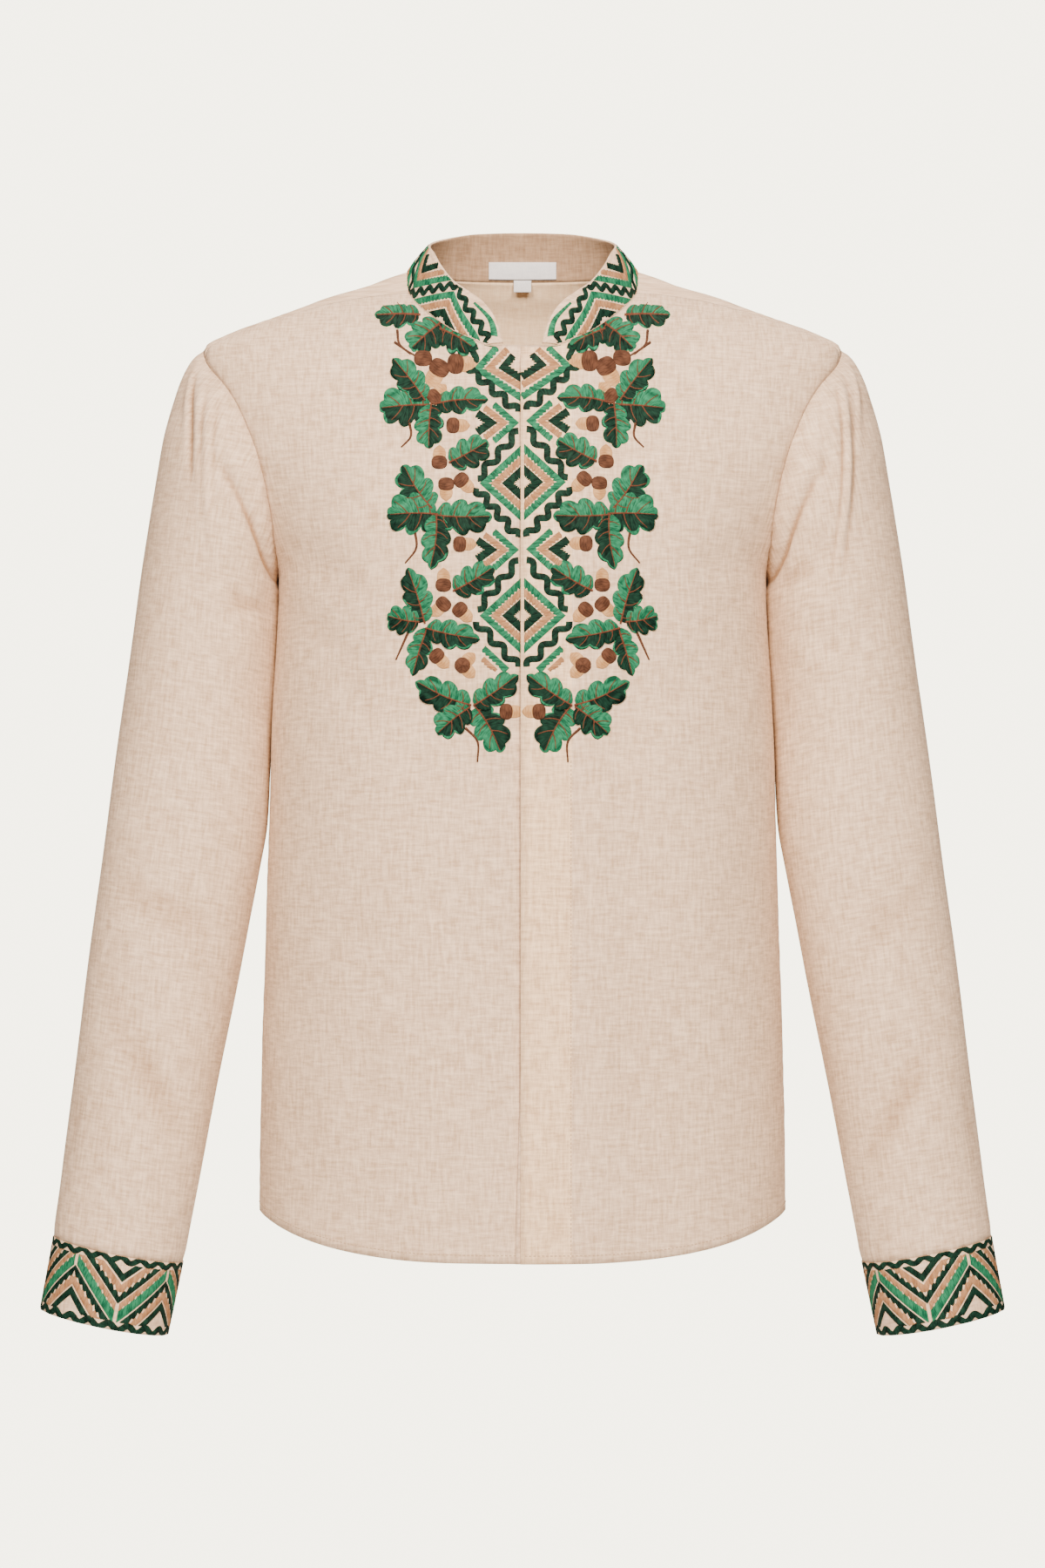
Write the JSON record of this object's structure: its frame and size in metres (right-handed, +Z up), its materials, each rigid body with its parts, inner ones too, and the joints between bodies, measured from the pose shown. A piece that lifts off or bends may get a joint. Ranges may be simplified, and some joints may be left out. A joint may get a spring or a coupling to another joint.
{
  "type": "embroidered shirt",
  "caption": "Long-sleeved linen shirt, hollow and filled out, with an embroidered stand collar, chest and cuffs and a covered front placket.",
  "frame": {"origin": "on the centre plane, midway between the shoulder seams, at the height where the wearer's shoulders carry the shirt beside the neck", "axes": "+Z up from the hem to the collar, -Y to the front, +X to the wearer's left"},
  "size_m": [0.7024, 0.2636, 0.8127],
  "materials": {
    "linen": "matte cream linen with a slubby weave",
    "embroidery": "cream linen closely worked in green, brown and tan stranded thread",
    "label": "smooth white woven tape"
  },
  "bodies": {
    "root": {"front_left": "linen", "front_right": "linen", "placket_underlay": "linen", "button_band": "linen", "back": "linen", "sleeve_left": "linen", "sleeve_right": "linen", "cuff_left": "embroidery", "cuff_right": "embroidery", "collar": "embroidery", "neck_label": "label", "size_tag": "label"}
  },
  "joints": []
}
